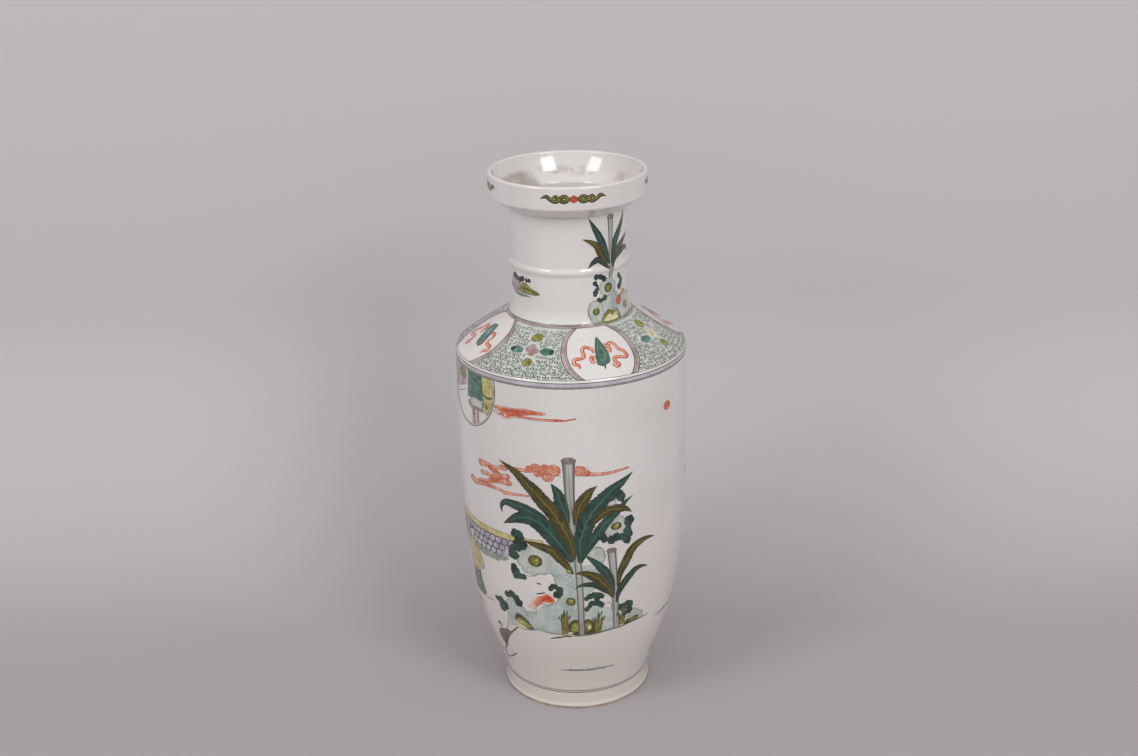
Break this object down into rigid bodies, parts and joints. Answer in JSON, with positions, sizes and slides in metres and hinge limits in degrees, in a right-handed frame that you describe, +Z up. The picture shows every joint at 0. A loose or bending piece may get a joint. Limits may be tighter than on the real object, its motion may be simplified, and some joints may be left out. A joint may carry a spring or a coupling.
{
  "type": "rouleau vase",
  "caption": "Tall porcelain vase with a dished mouth, ribbed cylindrical neck, sloping shoulder and tapering body, painted in overglaze garden enamels.",
  "frame": {"origin": "centre of the foot ring, on the plane that the vase stands on", "axes": "+Z up along the turning axis, -Y towards the front of the painted garden"},
  "size_m": [0.1878, 0.1878, 0.45],
  "materials": {
    "glazed_porcelain": "glossy clear glaze over off-white porcelain, painted with overglaze enamels",
    "enamel_painting": "overglaze enamels: translucent greens, yellow, lavender and iron-red, slightly raised and glossy",
    "foot_paste": "unglazed porcelain paste at the foot rim, burnt brownish and slightly rough"
  },
  "bodies": {
    "root": {"foot_ring": "glazed_porcelain", "base_floor": "glazed_porcelain", "lower_body": "glazed_porcelain", "upper_body": "glazed_porcelain", "shoulder": "glazed_porcelain", "lower_neck": "glazed_porcelain", "upper_neck": "glazed_porcelain", "mouth_dish": "glazed_porcelain"}
  },
  "joints": []
}
